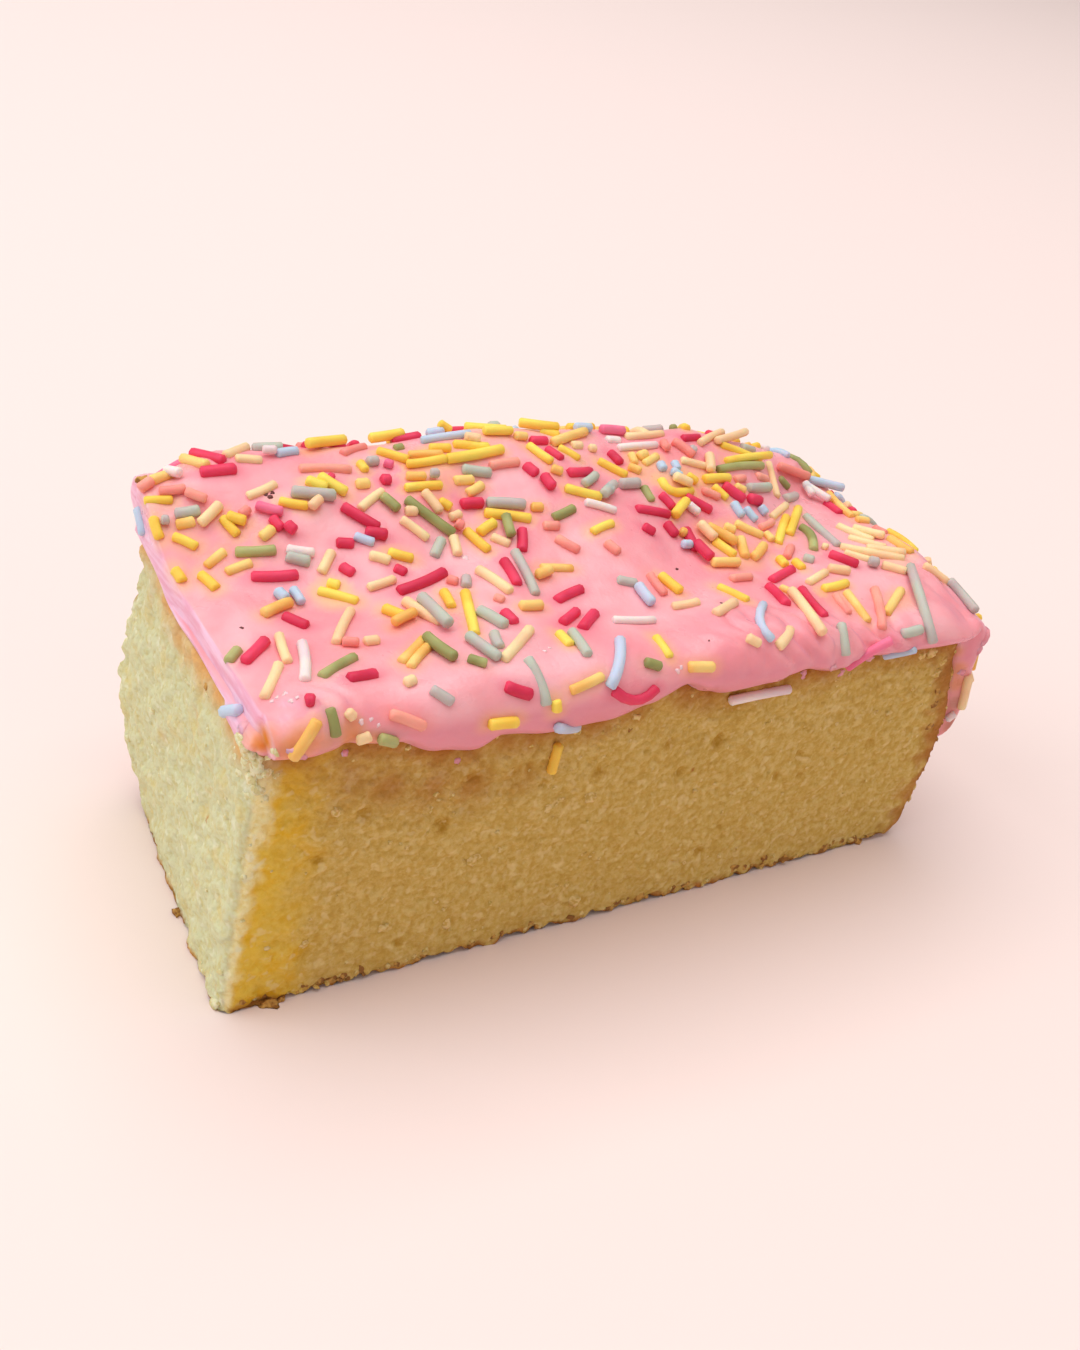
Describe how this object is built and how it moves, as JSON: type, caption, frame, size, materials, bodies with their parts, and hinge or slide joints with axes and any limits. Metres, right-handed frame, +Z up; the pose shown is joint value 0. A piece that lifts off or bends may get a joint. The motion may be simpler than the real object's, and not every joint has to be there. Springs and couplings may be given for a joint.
{
  "type": "iced sponge cake slice",
  "caption": "Oblong slice from the corner of a yellow tray-bake sponge, under thick pink icing that drips over its edges, with coloured sugar strands stuck all over the icing.",
  "frame": {"origin": "on the flat base, under the middle of the slice", "axes": "+Z up; +X along the long cut face, towards the end that lay against the tin; +Y from the long cut face towards the long side that lay against the tin; the short cut face looks along -X"},
  "size_m": [0.1143, 0.0526, 0.0548],
  "materials": {
    "sponge": "matte open crumb, with a thin browned crust on the tin sides and the base",
    "icing": "soft satin sugar icing",
    "strands": "smooth pressed sugar in many pale colours"
  },
  "bodies": {
    "root": {"sponge": "sponge", "icing": "icing"}
  },
  "joints": []
}
